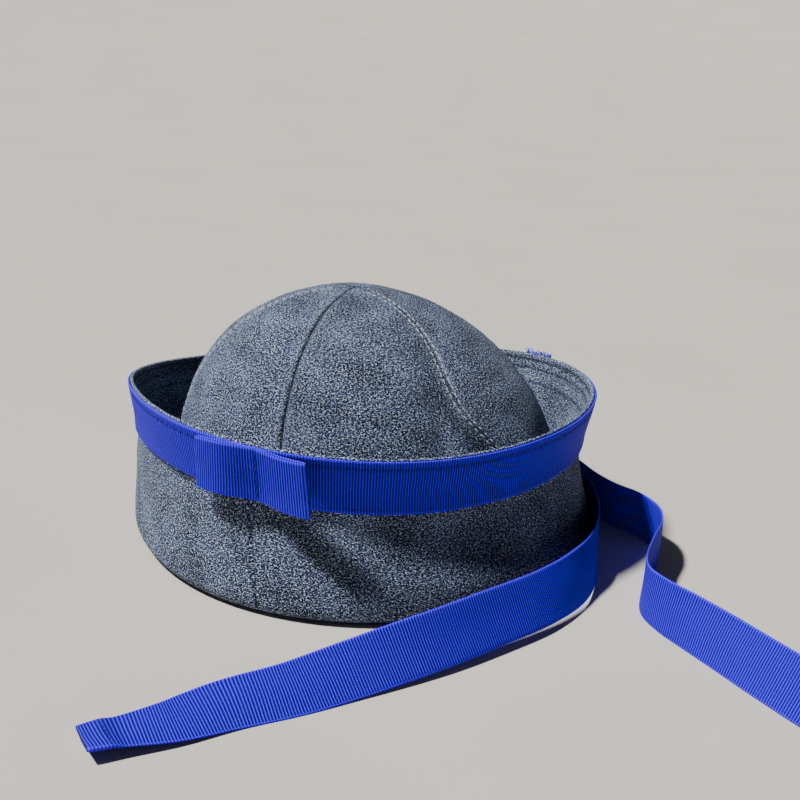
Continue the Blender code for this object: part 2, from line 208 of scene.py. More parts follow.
# Tails: angle round the cap, distance beyond the brim, lift of the lower edge, lean
LEFT_TAIL_ROWS = (
    (92.0, 0.000, 0.50, -8.0),
    (84.0, 0.003, 0.44, -6.0),
    (75.0, 0.008, 0.30, -2.0),
    (66.0, 0.010, 0.15, 0.0),
    (54.0, 0.010, 0.04, 0.0),
    (40.0, 0.010, 0.0, 0.0),
    (20.0, 0.010, 0.0, 0.0),
    (2.0, 0.012, 0.0, 0.0),
    (-12.0, 0.026, 0.0, 0.0),
    (-24.0, 0.065, 0.0, 3.0),
    (-35.0, 0.130, 0.01, 12.0),
    (-44.0, 0.185, 0.03, 24.0),
    (-54.0, 0.225, 0.045, 28.0),
    (-66.0, 0.270, 0.045, 31.0),
    (-78.0, 0.365, 0.03, 38.0),
    (-87.0, 0.470, 0.01, 50.0),
    (-94.2, 0.590, 0.0, 61.0),
    (-100.1, 0.705, 0.005, 69.0),
    (-105.0, 0.848, 0.025, 83.0),
    (-108.6, 0.953, 0.052, 95.0),
    (-111.05, 1.040, 0.068, 101.5),
)
RIGHT_TAIL_ROWS = (
    (58.0, -0.008, 0.56, -8.0),
    (51.0, 0.000, 0.51, -8.0),
    (43.0, 0.036, 0.38, -4.0),
    (35.0, 0.076, 0.18, 0.0),
    (25.0, 0.056, 0.05, 0.0),
    (14.0, 0.046, 0.0, 0.0),
    (5.0, 0.060, 0.0, 0.0),
    (-2.0, 0.115, 0.0, 0.0),
    (-7.0, 0.210, 0.0, 0.0),
    (-12.8, 0.280, 0.0, 0.0),
    (-19.5, 0.300, 0.0, -2.0),
    (-27.0, 0.295, 0.0, -3.0),
    (-34.3, 0.320, 0.0, -3.0),
    (-39.4, 0.380, 0.0, -4.0),
    (-42.4, 0.490, 0.0, -10.0),
    (-44.3, 0.620, 0.0, -18.0),
    (-46.0, 0.770, 0.0, -25.0),
    (-47.6, 0.940, 0.0, -30.0),
    (-49.0, 1.140, 0.0, -34.0),
    (-50.0, 1.360, 0.0, -44.0),
    (-50.6, 1.620, 0.0, -60.0),
    (-51.6, 1.880, 0.0, -80.0),
)

# Drift of the crown's front right seam away from even spacing: height share, degrees
DRIFTING_SEAM = 1
SEAM_DRIFT = (
    (0.00, 9.0),
    (0.48, 7.0),
    (0.56, 4.2),
    (0.62, 1.0),
    (0.69, -1.4),
    (0.80, -0.5),
    (0.92, 4.0),
    (1.00, 8.0),
)
TOPSTITCHED_SEAMS = (1, 3, 5)
QUILT_ROWS = (0.0036, 0.0080, 0.0155)


def unit(vectors):
    return vectors / np.maximum(np.linalg.norm(vectors, axis=-1, keepdims=True), 1e-12)


def radial(angle):
    angle = np.asarray(angle, float)
    return np.stack([np.cos(angle), np.sin(angle), np.zeros_like(angle)], -1)


def lift(height):
    height = np.asarray(height, float)
    return np.stack([np.zeros_like(height), np.zeros_like(height), height], -1)


def smooth_row(rows, key):
    """Values of a table's row at keys between its rows, on one smooth curve."""
    table = np.array(rows, float)
    keys, values = table[:, 0], table[:, 1:]
    way = 1.0 if keys[-1] > keys[0] else -1.0
    key = np.asarray(key, float)
    low = np.clip(np.searchsorted(way * keys, way * key, side="right") - 1, 0, len(keys) - 2)
    before = np.maximum(np.arange(len(keys)) - 1, 0)
    after = np.minimum(np.arange(len(keys)) + 1, len(keys) - 1)
    slope = (values[after] - values[before]) / (keys[after] - keys[before])[:, None]
    span = (keys[low + 1] - keys[low])[..., None]
    t = (key - keys[low])[..., None] / span
    return (
        values[low] * (1 - 3 * t**2 + 2 * t**3)
        + values[low + 1] * (3 * t**2 - 2 * t**3)
        + slope[low] * span * (t - 2 * t**2 + t**3)
        + slope[low + 1] * span * (t**3 - t**2)
    )


def wave(rows, angle):
    return sum(c * np.cos(order * angle) + s * np.sin(order * angle) for order, c, s in rows)


def dent(rows, angle, height_share):
    total = 0.0
    for middle, level, half_width, half_height, depth in rows:
        across = (angle - radians(middle) + pi) % (2 * pi) - pi
        a = across / radians(half_width)
        b = (height_share - level) / half_height
        total = total + depth / (1 + a * a + b * b) ** 2
    return total


def bump_at(distance, width):
    return np.exp(-((distance / width) ** 2))


def soft_noise(points, size, seed):
    """Smooth random heights from -1 to 1 at points, with lumps of about a given size."""
    flat = points.reshape(-1, 3) / size
    shift = Vector((seed * 7.3, seed * 3.1, seed * 5.7))
    heights = [noise.noise(Vector(point) + shift) for point in flat]
    return np.array(heights).reshape(points.shape[:-1])


def along_path(points):
    """Distance along a polyline at each of its points."""
    steps = np.linalg.norm(np.diff(points, axis=0), axis=-1)
    return np.concatenate([[0.0], np.cumsum(steps)])


def read_path(path, distances, values=None):
    """Points of a polyline, or vectors known at its points, at distances along it."""
    values = path if values is None else values
    lengths = along_path(path)
    return np.stack([np.interp(distances, lengths, values[:, k]) for k in range(3)], -1)


class Link:
    """One output socket of a node tree, with arithmetic that adds Math nodes."""

    def __init__(self, finish, socket):
        self.finish = finish
        self.socket = socket

    def calculate(self, operation, *values):
        return self.finish.node("ShaderNodeMath", {"operation": operation}, dict(enumerate(values)))

    def __add__(self, other):
        return self.calculate("ADD", self, other)

    def __radd__(self, other):
        return self.calculate("ADD", other, self)

    def __sub__(self, other):
        return self.calculate("SUBTRACT", self, other)

    def __rsub__(self, other):
        return self.calculate("SUBTRACT", other, self)

    def __mul__(self, other):
        return self.calculate("MULTIPLY", self, other)

    def __rmul__(self, other):
        return self.calculate("MULTIPLY", other, self)

    def __truediv__(self, other):
        return self.calculate("DIVIDE", self, other)

    def __rtruediv__(self, other):
        return self.calculate("DIVIDE", other, self)

    def sine(self):
        return self.calculate("SINE", self)

    def between(self, low, high):
        """0 below low, 1 above high, eased between them."""
        return self.finish.node(
            "ShaderNodeMapRange",
            {"interpolation_type": "SMOOTHSTEP"},
            {"Value": self, "From Min": low, "From Max": high},
        )


class Finish:
    """A material under construction."""

    def __init__(self, name):
        self.material = bpy.data.materials.new(name)
        self.material.use_nodes = True
        self.tree = self.material.node_tree
        self.shader = self.tree.nodes["Principled BSDF"]

    def node(self, kind, settings, sockets, out=0):
        made = self.tree.nodes.new(kind)
        for key, value in settings.items():
            setattr(made, key, value)
        for key, value in sockets.items():
            self.join(made.inputs[key], value)
        return Link(self, made.outputs[out])

    def join(self, socket, value):
        if isinstance(value, Link):
            self.tree.links.new(value.socket, socket)
        elif hasattr(value, "__len__") and socket.type == "RGBA" and len(value) == 3:
            socket.default_value = (*value, 1.0)
        else:
            socket.default_value = value

    def laid_out(self):
        """Place along and across a piece's flat cloth, in metres, from its own flat map."""
        flat = self.node("ShaderNodeUVMap", {"uv_map": "flat"}, {})
        along = self.node("ShaderNodeSeparateXYZ", {}, {0: flat})
        return along, Link(self, along.socket.node.outputs[1])

    def in_object(self):
        """Place in the object's own coordinates."""
        return self.node("ShaderNodeTexCoord", {}, {}, out=3)

    def point(self, x, y, z=0.0):
        return self.node("ShaderNodeCombineXYZ", {}, {0: x, 1: y, 2: z})

    def mottle(self, vector, scale, detail):
        sockets = {"Vector": vector, "Scale": scale, "Detail": detail}
        return self.node("ShaderNodeTexNoise", {}, sockets)

    def mix(self, factor, first, second):
        settings = {"data_type": "RGBA", "blend_type": "MIX"}
        return self.node("ShaderNodeMix", settings, {0: factor, 6: first, 7: second}, out=2)

    def mark(self, name):
        return self.node("ShaderNodeAttribute", {"attribute_name": name}, {}, out=2)

    def surface(
        self, colour, roughness, height=None, depth=0.0, sheen=0.0, tint=(1, 1, 1), shine=0.3
    ):
        look = {"Base Color": colour, "Roughness": roughness, "Specular IOR Level": shine}
        look |= {"Sheen Weight": sheen, "Sheen Roughness": 0.45, "Sheen Tint": tint}
        for key, value in look.items():
            self.join(self.shader.inputs[key], value)
        if height is not None:
            sockets = {"Strength": 1.0, "Distance": depth, "Height": height}
            self.join(self.shader.inputs["Normal"], self.node("ShaderNodeBump", {}, sockets))
        return self.material


def flecked_cloth(colours):
    """Plain weave of near-black navy warp with broken white and blue weft flecks."""
    f = Finish("flecked_cloth")
    u, v = f.laid_out()
    warp = (u * (2 * pi / WARP_PITCH)).sine()
    weft = (v * (2 * pi / WEFT_PITCH)).sine()
    weave = warp * weft
    dashes = f.mottle(f.point(u / 0.00078, v / 0.00036), 1.0, 1.0)
    slubs = f.mottle(f.point(u / 0.00036, v / 0.00074), 1.0, 1.0)
    patch = f.mottle(f.point(u / 0.020, v / 0.016), 1.0, 3.0)
    flecks = (dashes * 0.62 + slubs * 0.38 + patch * 0.10 + weave * 0.018).between(0.545, 0.645)
    blue = f.mottle(f.point(u / 0.0013, v / 0.0010, 4.0), 1.0, 1.0).between(0.42, 0.62)
    pale = f.mix(blue, colours.fleck_pale, colours.fleck_blue)
    ground = f.mix(patch.between(0.35, 0.65), colours.cloth_dark, colours.cloth_navy)
    worn = f.mark("wear")
    shade = f.mark("crease")
    colour = f.mix(flecks, ground, pale)
    colour = f.mix(worn * dashes.between(0.38, 0.60) * 0.75, colour, colours.fleck_pale)
    # Painted shade: darkens the cloth towards its darkest warp along seams, quilting grooves and
    # folds, where shade falls
    colour = f.mix(shade * 0.80, colour, colours.cloth_dark)
    height = weave * 0.5 + flecks * 0.6 + dashes * 0.5
    roughness = 0.92 - flecks * 0.22
    sheen = {"sheen": 0.03, "tint": (0.6, 0.7, 1.0), "shine": 0.15}
    return f.surface(colour, roughness, height, depth=0.00022, **sheen)


def grosgrain(colours, sizes):
    """Ribbed ribbon with smooth, slightly lighter woven edges, painted light on its rib tops,
    painted shade between its ribs and painted glints on bright thread specks.
    """
    f = Finish("blue_ribbon")
    u, v = f.laid_out()
    uneven = f.mottle(f.point(u / 0.006, v / 0.012), 1.0, 2.0)
    rib = (u * (2 * pi / sizes.rib_pitch) + uneven * 0.9).sine() * 0.5 + 0.5
    width = sizes.ribbon_width
    lower = 1.0 - v.between(SELVEDGE_INNER, SELVEDGE_OUTER)
    upper = v.between(width - SELVEDGE_OUTER, width - SELVEDGE_INNER)
    selvedge = lower + upper
    threads = (v * (2 * pi / THREAD_PITCH)).sine() * 0.5 + 0.5
    specks = f.mottle(f.point(u / 0.00050, v / 0.00046), 1.0, 1.0)
    bright = specks.between(0.60, 0.80)
    # Painted light and shade: rib tops take the lit colour and the hollows between ribs the shaded
    # colour; the woven edges come out a little lighter
    lit = (rib * 0.75 + specks * 0.45 + selvedge * 0.22).between(0.15, 1.15)
    colour = f.mix(lit, colours.ribbon_shaded, colours.ribbon_lit)
    # Painted glints on the brightest thread specks
    colour = f.mix(bright * 0.50, colour, colours.ribbon_glint)
    # Painted shade in the ribbon's pleat line, the loop's middle and the hem's valley
    colour = f.mix(f.mark("crease") * 0.75, colour, colours.ribbon_shaded)
    height = rib * (1.0 - selvedge) + threads * 0.18 + selvedge * 0.7
    roughness = 0.50 + specks * 0.25
    sheen = {"sheen": 0.01, "tint": (0.20, 0.35, 1.0), "shine": 0.08}
    return f.surface(colour, roughness, height, depth=0.00040, **sheen)


def thread(name, colour):
    """Twisted sewing thread."""
    f = Finish(name)
    fibre = f.mottle(f.in_object(), 2600.0, 2.0)
    dark = tuple(part * 0.55 for part in colour)
    twist = f.mix(fibre.between(0.35, 0.65), dark, tuple(colour))
    return f.surface(twist, 0.6, fibre, depth=0.0001)


def make_piece(name, points, faces, uvs, marks, material):
    """One mesh with its flat map and its shading marks."""
    mesh = bpy.data.meshes.new(name)
    mesh.from_pydata(points.tolist(), [], [tuple(face) for face in faces])
    if uvs is not None:
        layer = mesh.uv_layers.new(name="flat")
        corner = np.concatenate([np.asarray(face_uv, float) for face_uv in uvs])
        layer.data.foreach_set("uv", corner.astype(np.float32).ravel())
    for key, values in marks.items():
        mark = mesh.attributes.new(key, "FLOAT", "POINT")
        mark.data.foreach_set("value", np.asarray(values, np.float32).ravel())
    work = bmesh.new()
    work.from_mesh(mesh)
    bmesh.ops.recalc_face_normals(work, faces=work.faces)
    work.to_mesh(mesh)
    work.free()
    mesh.materials.append(material)
    mesh.shade_smooth()
    piece = bpy.data.objects.new(name, mesh)
    bpy.context.scene.collection.objects.link(piece)
    return piece


def wrap_grid(name, sides, flat, loop_flat, material, marks, ring):
    """A closed skin round a grid of cloth, from its front, top edge, back and bottom edge."""
    front, top, back, bottom = sides
    rows, columns = front.shape[:2]
    loop = np.concatenate([front, top, back[::-1], bottom])
    around = len(loop)
    index = np.arange(around * columns).reshape(around, columns)
    faces, uvs = [], []
    for c in range(columns if ring else columns - 1):
        d = (c + 1) % columns
        for k in range(around):
            m = (k + 1) % around
            faces.append((index[k, c], index[k, d], index[m, d], index[m, c]))
            corners = (k, c), (k, c + 1), (m, c + 1), (m, c)
            uvs.append([loop_flat[corner] for corner in corners])
    for c in () if ring else (0, columns - 1):
        for r in range(rows - 1):
            far = 2 * rows - r
            faces.append((index[r, c], index[r + 1, c], index[far - 1, c], index[far, c]))
            uvs.append((flat[r, c], flat[r + 1, c], flat[r + 1, c], flat[r, c]))
        for row, tip in ((-1, (rows - 1, rows, rows + 1)), (0, (2 * rows, 2 * rows + 1, 0))):
            faces.append(tuple(index[corner, c] for corner in tip))
            uvs.append((flat[row, c],) * 3)
    spread = {}
    for key, values in marks.items():
        spread[key] = np.concatenate([values, values[-1:], values[::-1], values[:1]])
    return make_piece(name, loop.reshape(-1, 3), faces, uvs, spread, material)


def make_shell(name, middle, flat, outside, inside, material, marks, ring=False):
    """Cloth of even thickness on a grid of points, with all its edges rounded over."""
    if ring:
        run = np.roll(middle, -1, 1) - np.roll(middle, 1, 1)
    else:
        run = np.gradient(middle, axis=1)
    rise = np.gradient(middle, axis=0)
    normal = unit(np.cross(run, rise))
    front, back = middle + normal * outside, middle - normal * inside
    half = np.broadcast_to((outside + inside) / 2, middle.shape)
    centre = (front + back) / 2
    top = centre[-1:] + unit(rise[-1:]) * half[-1:]
    bottom = centre[:1] - unit(rise[:1]) * half[:1]
    over = 2 * flat[-1:, :, 1] + 2 * half[-1:, :1, 0] - flat[::-1, :, 1]
    behind = np.stack([flat[::-1, :, 0], over], -1)
    loop_flat = np.concatenate([flat, (flat[-1:] + behind[:1]) / 2, behind, behind[-1:]])
    sides = front, top, back, bottom
    return wrap_grid(name, sides, flat, loop_flat, material, marks, ring)


def make_strip(name, middle, thick, flat, material, marks):
    """A ribbon whose thickness changes along it."""
    rise = unit(np.gradient(middle, axis=0))
    run = unit(np.gradient(middle, axis=1))
    normal = unit(np.cross(run, rise))
    half = (thick / 2)[None, :, None]
    top = middle[-1:] + rise[-1:] * half * EDGE_BULGE
    bottom = middle[:1] - rise[:1] * half * EDGE_BULGE
    loop_flat = np.concatenate([flat, flat[-1:], flat[::-1], flat[:1]])
    sides = middle + normal * half, top, middle - normal * half, bottom
    return wrap_grid(name, sides, flat, loop_flat, material, marks, ring=False)


def tube_faces(first, rings, sides):
    """Faces of a closed tube whose rings of points start at a given index."""
    faces = []
    for ring in range(rings - 1):
        start = first + ring * sides
        for s in range(sides):
            a, b = start + s, start + (s + 1) % sides
            faces.append((a, b, b + sides, a + sides))
    for start in (first, first + (rings - 1) * sides):
        faces.append(tuple(range(start, start + sides)))
    return faces


def make_stitches(name, paths, material, length, gap, thickness):
    """Rows of sewn stitches. Each path is its points and the outward direction at each."""
    points, faces = [], []
    widths, rises = thickness * STITCH_WIDTHS, thickness * STITCH_RISES
    for path, outward in paths:
        total = along_path(path)[-1]
        count = max(1, int(total / (length + gap)))
        for start in (np.arange(count) + 0.5) * total / count - length / 2:
            stations = start + length * STITCH_PLACES
            spots = read_path(path, stations)
            out = unit(read_path(path, stations, outward))
            run = unit(np.gradient(spots, axis=0))
            side = unit(np.cross(run, out))
            faces += tube_faces(len(points), len(spots), STITCH_SIDES)
            for k, spot in enumerate(spots):
                for s in range(STITCH_SIDES):
                    turn = 2 * pi * s / STITCH_SIDES
                    spoke = side[k] * cos(turn) + out[k] * sin(turn) * STITCH_FLATNESS
                    points.append(spot + out[k] * rises[k] + spoke * widths[k])
    return make_piece(name, np.array(points), faces, None, {}, material)


def facing(points, across):
    """Outward directions along a path on a surface, from a second path beside it."""
    run = np.gradient(points, axis=0)
    return unit(np.cross(run, across - points))


def crown_angle(height, sizes):
    return np.arcsin((height / sizes.crown_height) ** (CROWN_ROUNDNESS / 2))


def seam_place(index, share):
    """Angle of a crown seam at a height share."""
    drifting = index % GORES == DRIFTING_SEAM
    drift = smooth_row(SEAM_DRIFT, share)[..., 0] if drifting else 0.0 * share
    return SEAM_ANGLE + index * 2 * pi / GORES + np.radians(drift)


def seam_depth(index):
    """A topstitched seam is pressed open and lies flatter than a plain one."""
    return 0.4 if index % GORES in TOPSTITCHED_SEAMS else 1.0


def crown_face(index, across, slope, sizes):
    """Outer face of one gore: across it from 0 to 1, and from its foot up to 90 degrees."""
    height = sizes.crown_height * np.sin(slope) ** (2 / CROWN_ROUNDNESS)
    share = height / sizes.crown_height
    first, last = seam_place(index, share), seam_place(index + 1, share)
    angle = first + (last - first) * across
    plain = sizes.crown_radius * np.cos(slope) * (1 + wave(CROWN_RADIUS_WAVES, angle))
    plain = plain * (1 + dent(CROWN_DENTS + CROWN_FOLDS, angle, share))
    low = across * plain * (last - first)
    high = (1 - across) * plain * (last - first)
    reach = np.minimum(low, high)
    plain_seam = np.where(low < high, seam_depth(index), seam_depth(index + 1))
    radius = plain - SEAM_DIP * np.cos(slope) * np.abs(np.cos(pi * across)) ** SEAM_SHARPNESS
    fullness = np.minimum(1.0, plain / SEAM_END)
    groove = SEAM_GROOVE * plain_seam * bump_at(reach, SEAM_GROOVE_WIDTH)
    radius = radius - groove * fullness
    swell = SEAM_FOLD * bump_at(reach - SEAM_FOLD_PLACE, SEAM_FOLD_WIDTH)
    radius = radius + swell * fullness
    pucker = np.sin(slope * 92.0 + index * 2.0) + 0.6 * np.sin(slope * 57.0 + index)
    radius = radius + PUCKER * pucker * bump_at(reach, PUCKER_WIDTH) * fullness
    shift = CROWN_SHIFT_FOOT + (CROWN_SHIFT_TOP - CROWN_SHIFT_FOOT) * share
    base = np.stack([shift, np.full_like(shift, CROWN_SHIFT_BACK), height], -1)
    return radial(angle) * radius[..., None] + base


def rim_height(angle, sizes):
    return sizes.brim_height * (1 + wave(RIM_HEIGHT_WAVES, angle))


def brim_wall(angle, share, sizes, proud=0.0):
    """Outer face of the brim's wall, from 0 at the foot's bend to 1 at the rim."""
    angle, share = np.broadcast_arrays(np.asarray(angle, float), np.asarray(share, float))
    parts = smooth_row(BRIM_ROWS, share)
    to_rim, hollow, shifted = parts[..., 0], parts[..., 1], parts[..., 2]
    foot = sizes.foot_radius * (1 + wave(FOOT_RADIUS_WAVES, angle))
    rim = sizes.rim_radius * (1 + wave(RIM_RADIUS_WAVES, angle))
    radius = foot + (rim - foot) * to_rim - sizes.rim_radius * hollow
    radius = radius + sizes.rim_radius * dent(BRIM_DENTS, angle, share) * np.sin(pi * share)
    low = FOOT_BEND + BRIM_WALL / 2
    height = low + (rim_height(angle, sizes) - low) * share
    place = radial(angle) * (radius + proud)[..., None] + FOOT_SHIFT * shifted[..., None]
    return place + lift(height)


def brim_middle(angle, v, sizes):
    """Middle of the brim's cloth: head seam 0, bend 1 to 2, underside to 3, bend to 4, rim 5."""
    angle, v = np.broadcast_arrays(np.asarray(angle, float), np.asarray(v, float))
    half = BRIM_WALL / 2
    slope = crown_angle(HEAD_SEAM_HEIGHT, sizes)
    radius = sizes.crown_radius * cos(slope) * (1 + wave(CROWN_RADIUS_WAVES, angle))
    share = HEAD_SEAM_HEIGHT / sizes.crown_height
    radius = radius * (1 + dent(CROWN_DENTS, angle, share)) - CROWN_WALL / 2
    shift = CROWN_SHIFT_FOOT + (CROWN_SHIFT_TOP - CROWN_SHIFT_FOOT) * share
    inner = radial(angle) * radius[..., None] + np.array((shift, CROWN_SHIFT_BACK, 0.0))
    outer = brim_wall(angle, 0.0, sizes, -half) * np.array((1.0, 1.0, 0.0))
    out = unit(outer - inner)
    low = HEAD_BEND + half
    rise = inner + lift(HEAD_SEAM_HEIGHT + (low - HEAD_SEAM_HEIGHT) * np.clip(v, 0, 1))
    turn = (np.clip(v, 1, 2) - 1) * pi / 2
    bend = inner + out * (HEAD_BEND * (1 - np.cos(turn)))[..., None]
    bend = bend + lift(half + HEAD_BEND * (1 - np.sin(turn)))
    start, end = inner + out * HEAD_BEND, outer - out * FOOT_BEND
    under = start + (end - start) * (np.clip(v, 2, 3) - 2)[..., None] + lift(np.full_like(v, half))
    turn = (np.clip(v, 3, 4) - 3) * pi / 2
    foot = end + out * (FOOT_BEND * np.sin(turn))[..., None]
    foot = foot + lift(half + FOOT_BEND * (1 - np.cos(turn)))
    wall = brim_wall(angle, np.clip(v - 4, 0, 1), sizes, -half)
    place = np.where((v <= 1)[..., None], rise, bend)
    place = np.where((v > 2)[..., None], under, place)
    place = np.where((v > 3)[..., None], foot, place)
    return np.where((v > 4)[..., None], wall, place)


def band_middle(angle, share, sizes):
    """Middle of the ribbon band, from 0 at its lower edge to 1 at its upper edge."""
    low = FOOT_BEND + BRIM_WALL / 2
    wall = rim_height(angle, sizes) - low
    below = RIM_EDGE_SHOWN + sizes.ribbon_width * (1 - share)
    return brim_wall(angle, 1 - below / wall, sizes, GAP + RIBBON_WALL * BAND_LAYERS / 2)


def clear_distance(angle, low, lean, sizes):
    """Distance from the middle at which a ribbon's lower edge just clears brim and band."""
    flare = tan(min(0.0, max(lean, -BAND_FLARE)))
    face = brim_wall(angle, np.linspace(0.0, 1.0, 41), sizes)
    rise = face[:, 2] - low
    from_rim = rim_height(angle, sizes) - face[:, 2]
    edge = RIM_EDGE_SHOWN + sizes.ribbon_width
    covered = np.where((from_rim > RIM_EDGE_SHOWN) & (from_rim < edge), 1.0, 0.0)
    covered = covered * (GAP + RIBBON_WALL * BAND_LAYERS)
    reach = np.linalg.norm(face[:, :2], axis=-1) + covered + rise * flare
    return reach[(rise > -FOOT_BEND) & (rise <= sizes.ribbon_width)].max()


def tail_frame(rows, sizes):
    """Stations along a tail: lower edge, run and direction up its width."""
    route = []
    for number, (degrees_round, beyond, lifted, lean_degrees) in enumerate(rows):
        angle, lean = radians(degrees_round), radians(lean_degrees)
        low = sizes.brim_height * lifted + RIBBON_WALL / 2 * abs(sin(lean))
        clear = clear_distance(angle, low, lean, sizes) + GAP + RIBBON_WALL / 2
        route.append((number, angle, clear + sizes.rim_radius * beyond, low, lean))
    fine = smooth_row(route, np.linspace(0.0, len(rows) - 1, 40 * (len(rows) - 1) + 1))
    low = np.maximum(fine[:, 2], RIBBON_WALL / 2 * np.abs(np.sin(fine[:, 3])))
    edge = radial(fine[:, 0]) * fine[:, 1:2] + lift(low)
    run = unit(np.gradient(edge, axis=0))
    to_cap = unit(np.cross(run, (0.0, 0.0, 1.0)))
    lean = fine[:, 3:4]
    width = np.cross(to_cap, run) * np.cos(lean) + to_cap * np.sin(lean)
    return edge, run, width


def ride_as(piece, slot, *nodes):
    """The piece rides the cap's one body and stands for its nodes; the finish slot is not used."""
    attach(piece, "root")
    if nodes:
        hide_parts(*nodes)


def finish_named(name):
    made = bpy.data.materials.get(name + "_made")
    if made:
        return made
    sizes, colours = bpy.context.scene.cap_sizes, bpy.context.scene.cap_colours
    if name == "cloth":
        made = flecked_cloth(colours)
    elif name == "ribbon":
        made = grosgrain(colours, sizes)
    else:
        made = thread(name, getattr(colours, name))
    made.name = name + "_made"
    return made


def sew(kind, name, paths, sizes):
    """Rows of one kind of stitch, as a piece of their own."""
    thread_name, slot, length, gap, thickness = STITCHES[kind]
    look, length = finish_named(thread_name), length or sizes.stitch_length
    piece = make_stitches(name, paths, look, length, gap, thickness)
    ride_as(piece, slot)
    return piece


def length_prop(name, description, value):
    return bpy.props.FloatProperty(
        name=name, description=description, default=value, min=0.0, unit="LENGTH", precision=4
    )


def colour_prop(name, description, value):
    return bpy.props.FloatVectorProperty(
        name=name, description=description, default=value, size=3, subtype="COLOR", min=0.0, max=1.0
    )


class CapSizes(bpy.types.PropertyGroup):
    rim_radius: length_prop("Rim radius", "Outer face of the brim at its rim", 0.107)
    foot_radius: length_prop("Foot radius", "Outer face of the brim at its foot", 0.1097)
    brim_height: length_prop("Brim height", "From the surface to the rim", 0.0668)
    crown_radius: length_prop("Crown radius", "Outer face of the crown at its foot", 0.0924)
    crown_height: length_prop("Crown height", "Top of the crown above the surface", 0.1127)
    ribbon_width: length_prop("Ribbon width", "Width of the grosgrain ribbon", 0.0220)
    rib_pitch: length_prop("Rib pitch", "From one rib of the ribbon to the next", 0.00116)
    bow_left: length_prop("Bow, left half", "From the tab's middle stitches leftwards", 0.0250)
    bow_right: length_prop("Bow, right half", "From the tab's middle stitches rightwards", 0.0200)
    stitch_length: length_prop("Stitch length", "Length of one topstitch", 0.0026)


class CapColours(bpy.types.PropertyGroup):
    cloth_dark: colour_prop("Cloth, dark", "Deepest warp threads", (0.002, 0.003, 0.009))
    cloth_navy: colour_prop("Cloth, navy", "Navy warp threads", (0.004, 0.007, 0.026))
    fleck_pale: colour_prop("Fleck, pale", "White weft flecks", (0.62, 0.76, 1.0))
    fleck_blue: colour_prop("Fleck, blue", "Blue-grey weft flecks", (0.115, 0.155, 0.38))
    # Painted light and shade: the ribbon's lit colour on its rib tops and its shaded colour between
    # the ribs
    ribbon_shaded: colour_prop("Ribbon, deep", "Between the ribs", (0.002, 0.0003, 0.12))
    ribbon_lit: colour_prop("Ribbon, bright", "Top of the ribs", (0.050, 0.003, 1.0))
    # Painted glints of the ribbon's shining thread specks
    ribbon_glint: colour_prop("Ribbon, specks", "Shining thread specks", (0.12, 0.13, 1.0))
    pale_thread: colour_prop("Pale thread", "Topstitching of the crown", (0.56, 0.64, 0.76))
    navy_thread: colour_prop("Navy thread", "Quilting of the brim", (0.020, 0.026, 0.045))
    blue_thread: colour_prop("Blue thread", "Stitching of the ribbon", (0.001, 0.006, 0.20))
    fray_thread: colour_prop("Frayed thread", "Loose ends of ribbon thread", (0.03, 0.06, 1.0))
    floor: colour_prop("Floor", "Plain pale floor", (0.46, 0.435, 0.39))


class MakeCrown(bpy.types.Operator):
    """Make the crown's six gores and the topstitching beside their seams"""

    bl_idname = "cap.make_crown"
    bl_label = "Crown"

    def execute(self, context):
        sizes = context.scene.cap_sizes
        foot = float(crown_angle(HEAD_SEAM_HEIGHT + GAP, sizes))
        top = pi / 2 - asin(APEX_HOLE / sizes.crown_radius)
        slopes = np.linspace(foot, top, 72)[:, None]
        across = (1 - np.cos(np.linspace(0.0, pi, 45))) / 2
        for index in range(GORES):
            place = crown_face(index, across[None, :] + 0 * slopes, slopes + 0 * across, sizes)
            soft = soft_noise(place, 0.024, 3.0) + 0.5 * soft_noise(place, 0.011, 8.0)
            edge = np.minimum(across, 1 - across)[None, :] * GORE_WIDTH
            give = 0.0005 * soft * (1 - bump_at(edge, 0.004))
            place = place + unit(place - np.array((0.0, 0.0, 0.04))) * give[..., None]
            rise = along_path(place[:, len(across) // 2])[:, None]
            breadth = np.linalg.norm(np.diff(place, axis=1), axis=-1).cumsum(1)
            breadth = np.concatenate([np.zeros((len(place), 1)), breadth], 1)
            breadth = breadth - breadth[:, -1:] / 2
            flat = np.stack([breadth + 0.5 * index, rise + 0 * breadth], -1)
            near = np.minimum(across, 1 - across)[None, :] * (breadth[:, -1:] - breadth[:, :1])
            deep = np.where(across < 0.5, seam_depth(index), seam_depth(index + 1))
            # Painted shade along the seam grooves
            crease = bump_at(near, 0.0008) * deep[None, :]
            wear = 0.30 * bump_at(near - 0.0022, 0.0012) * (0.5 + 0.5 * soft)
            angle = SEAM_ANGLE + (index + across[None, :]) * 2 * pi / GORES
            # Painted shade in the hollows of the crown's folds
            fold = dent(CROWN_SHADES, angle, place[..., 2] / sizes.crown_height)
            crease = np.clip(crease + fold, 0, 1)
            marks = {"crease": crease, "wear": np.clip(wear, 0, 1)}
            cloth = finish_named("cloth")
            name = f"crown_gore_cloth_{index + 1}"
            piece = make_shell(name, place, flat, 0.0, CROWN_WALL, cloth, marks)
            ride_as(piece, "flecked_cloth", f"crown_gore_{index + 1}")
        self.topstitch(sizes, foot)
        return {"FINISHED"}

    def topstitch(self, sizes, foot):
        slopes = np.linspace(foot, pi / 2 - 0.10, 240)
        paths = []
        for seam in TOPSTITCHED_SEAMS:
            for side in (0, 1):
                index = (seam - 1 + side) % GORES
                wide = sizes.crown_radius * np.cos(slopes) * 2 * pi / GORES
                share = np.minimum(0.4, TOPSTITCH_OFFSET / wide)
                across = share if side else 1 - share
                step = np.minimum(0.05, TOPSTITCH_OFFSET / 2 / wide)
                path = crown_face(index, across, slopes, sizes)
                beside = crown_face(index, across + step, slopes, sizes)
                paths.append((path, -facing(path, beside)))
        sew("crown", "crown_topstitching", paths, sizes)


